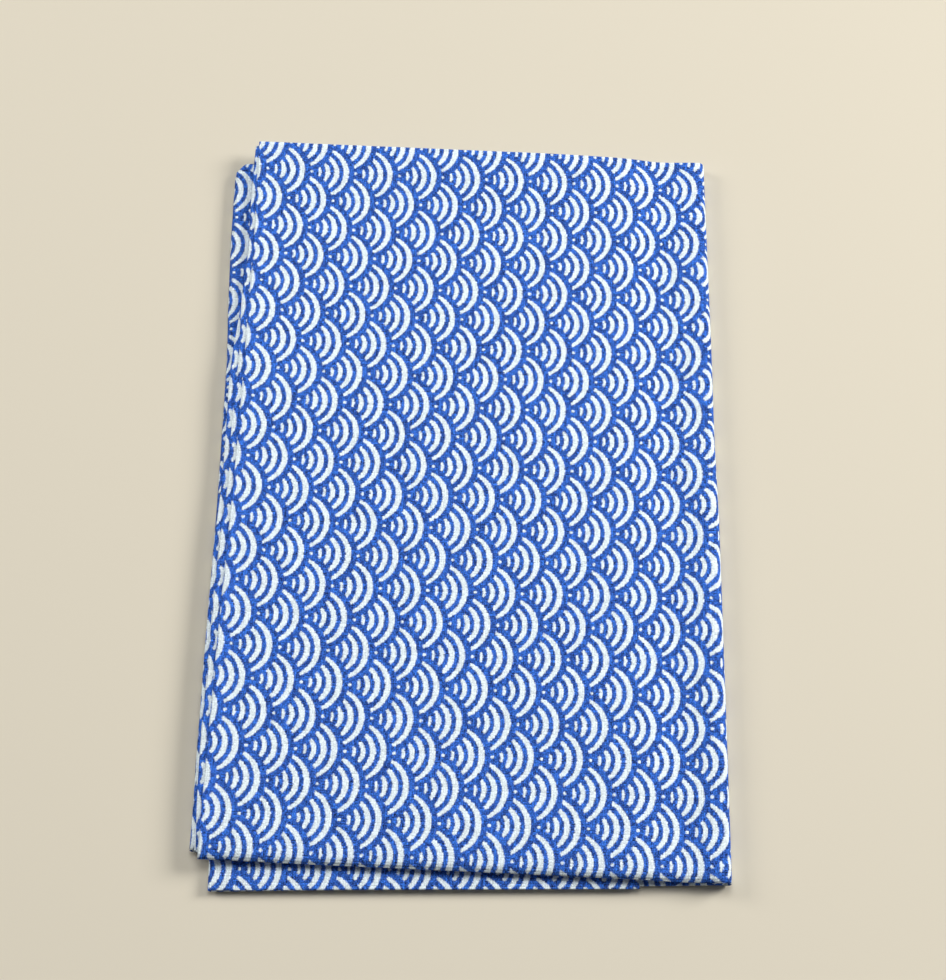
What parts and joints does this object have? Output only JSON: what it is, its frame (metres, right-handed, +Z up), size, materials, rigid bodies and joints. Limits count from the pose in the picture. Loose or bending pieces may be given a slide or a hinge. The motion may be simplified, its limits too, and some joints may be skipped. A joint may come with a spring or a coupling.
{
  "type": "folded tenugui towel",
  "caption": "Thin cotton hand cloth with a seigaiha wave print, folded lengthwise and then in three across, lying flat.",
  "frame": {"origin": "centre of the bounding box on the surface that the folded cloth lies on", "axes": "+X across the folded cloth to its right fold, +Y along it to the far end, +Z up"},
  "size_m": [0.14, 0.217, 0.0051],
  "materials": {
    "dyed_cotton": "plain-woven cotton, matt, blue ground with white wave arcs"
  },
  "bodies": {
    "root": {"towel": "dyed_cotton"}
  },
  "joints": []
}
